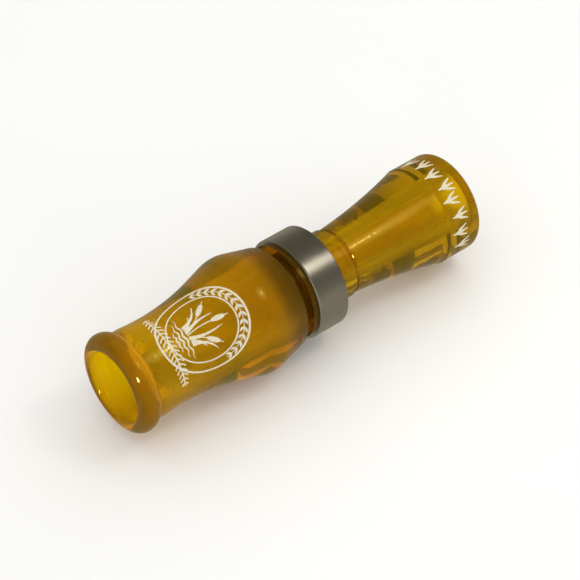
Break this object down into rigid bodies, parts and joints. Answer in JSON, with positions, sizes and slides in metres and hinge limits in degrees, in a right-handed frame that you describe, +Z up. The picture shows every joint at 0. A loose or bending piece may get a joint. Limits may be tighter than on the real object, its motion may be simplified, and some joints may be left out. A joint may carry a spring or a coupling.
{
  "type": "duck call",
  "caption": "Reed duck call lying on its side: clear amber barrel with lipped mouth end, metal band, lanyard groove and pull-out flared insert.",
  "frame": {"origin": "on the surface that the call rests on, under the middle of its length", "axes": "+X along the call from the mouth end to the exhaust bell, +Y sideways, +Z up"},
  "size_m": [0.1254, 0.037, 0.037],
  "materials": {
    "amber_barrel": "polished clear amber polycarbonate",
    "amber_insert": "polished clear amber polycarbonate",
    "band_steel": "fine turned satin, brushed around",
    "seal_rubber": "matt black",
    "amber_toneboard": "polished clear amber polycarbonate",
    "reed_film": "frosted clear film",
    "wedge_cork": "cork",
    "engraving": "laser marking, filled off-white and frosted"
  },
  "bodies": {
    "barrel": {"barrel": "amber_barrel", "band": "band_steel"},
    "seals": {"oring_inner": "seal_rubber", "oring_outer": "seal_rubber"},
    "insert": {"insert": "amber_insert", "toneboard": "amber_toneboard", "reed_wedge": "wedge_cork"},
    "long_reed": {"long_reed": "reed_film"},
    "short_reed": {"short_reed": "reed_film"}
  },
  "joints": [
    {"name": "insert_slide", "type": "slide", "parent": "barrel", "child": "seals", "axis": [1, 0, 0], "range_m": [0, 0.06]},
    {"name": "insert_twist", "type": "hinge", "parent": "seals", "child": "insert", "pos_m": [0.0103, 0, 0.0185], "axis": [1, 0, 0], "continuous": true},
    {"name": "long_reed_bend", "type": "hinge", "parent": "insert", "child": "long_reed", "pos_m": [-0.0222, 0, 0.01966], "axis": [0, 1, 0], "range_deg": [-2.6, 1.5], "stiffness_Nm_per_rad": 0.0065, "deforming": ["long_reed"]},
    {"name": "short_reed_bend", "type": "hinge", "parent": "insert", "child": "short_reed", "pos_m": [-0.0222, 0, 0.01994], "axis": [0, 1, 0], "range_deg": [-2.6, 1.5], "stiffness_Nm_per_rad": 0.0065, "deforming": ["short_reed"]}
  ],
  "couplings": [
    {"joint": "short_reed_bend", "follows": "long_reed_bend", "ratio": 1}
  ]
}
